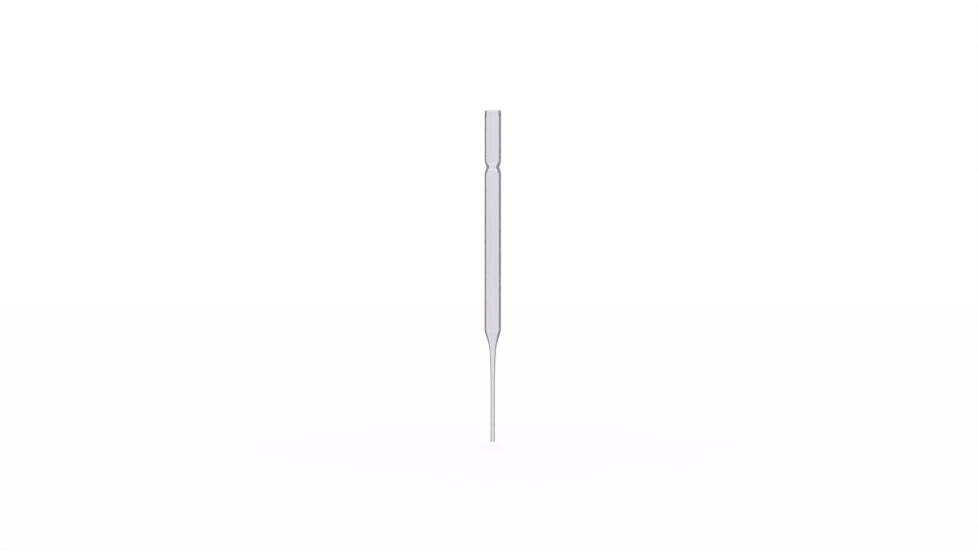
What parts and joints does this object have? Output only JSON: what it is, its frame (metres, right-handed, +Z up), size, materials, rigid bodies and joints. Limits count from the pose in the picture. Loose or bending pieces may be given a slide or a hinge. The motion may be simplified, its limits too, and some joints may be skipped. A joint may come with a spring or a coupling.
{
  "type": "pasteur pipette",
  "caption": "Glass dropping pipette: open thin-walled tube with a fire-polished mouth and a plug constriction, then a long barrel drawn down to a fine stem and jet.",
  "frame": {"origin": "centre of the mouth, on the flat plane of the fire-polished rim", "axes": "+Z up along the pipette's axis and out of its mouth, so the pipette hangs along -Z with its jet lowest; it is round, so +X and +Y are any two directions across it"},
  "size_m": [0.0074, 0.0074, 0.146],
  "materials": {
    "clear_glass": "clear drawn glass with a faint lavender-grey cast, smooth and glossy, fire-polished at the mouth"
  },
  "bodies": {
    "root": {"mouth_lip": "clear_glass", "mouth_tube": "clear_glass", "plug_constriction": "clear_glass", "barrel": "clear_glass", "drawn_shoulder": "clear_glass", "capillary_stem": "clear_glass", "jet_tip": "clear_glass"}
  },
  "joints": []
}
